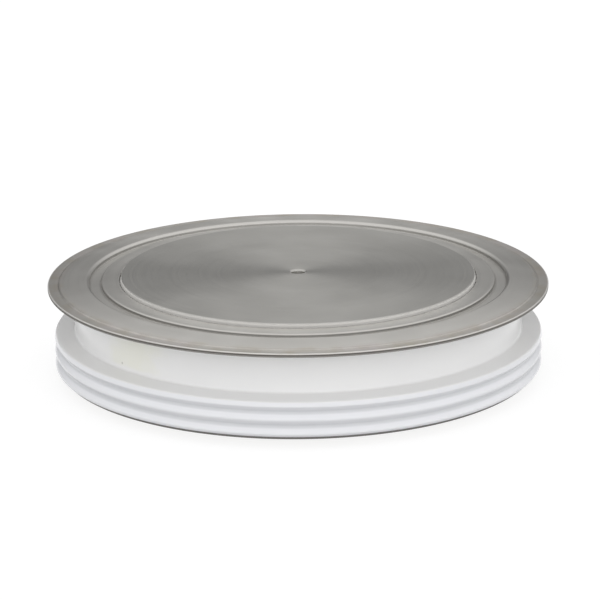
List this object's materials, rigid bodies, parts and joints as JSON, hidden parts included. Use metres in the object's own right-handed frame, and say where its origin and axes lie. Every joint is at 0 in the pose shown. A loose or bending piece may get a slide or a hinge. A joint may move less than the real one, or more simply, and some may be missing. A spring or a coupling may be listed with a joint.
{
  "type": "press-pack rectifier diode",
  "caption": "Disc capsule diode with flat contact faces above and below, a ribbed ceramic ring between them and a wide thin sheet flange round the top face.",
  "frame": {"origin": "centre of the anode's contact face, which the capsule stands on", "axes": "+Z runs along the axis of the capsule from the anode's contact face to the cathode's; X and Y lie in the anode's contact face"},
  "size_m": [0.13, 0.13, 0.026],
  "materials": {
    "plated_pole": "satin",
    "flange_sheet": "satin",
    "ring_sheet": "satin",
    "glazed_alumina": "gloss",
    "silver_foil": "satin",
    "molybdenum": "satin",
    "silicon": "polished",
    "silicone_rubber": "matte",
    "ring_plastic": "matte"
  },
  "bodies": {
    "root": {"cathode_pole": "plated_pole", "cathode_flange": "flange_sheet", "weld_ring": "ring_sheet", "ceramic_housing": "glazed_alumina", "anode_flange": "ring_sheet", "anode_pole": "plated_pole", "anode_foil": "silver_foil", "anode_disc": "molybdenum", "silicon_wafer": "silicon", "edge_seal": "silicone_rubber", "cathode_disc": "molybdenum", "cathode_foil": "silver_foil", "centring_ring": "ring_plastic"}
  },
  "joints": []
}
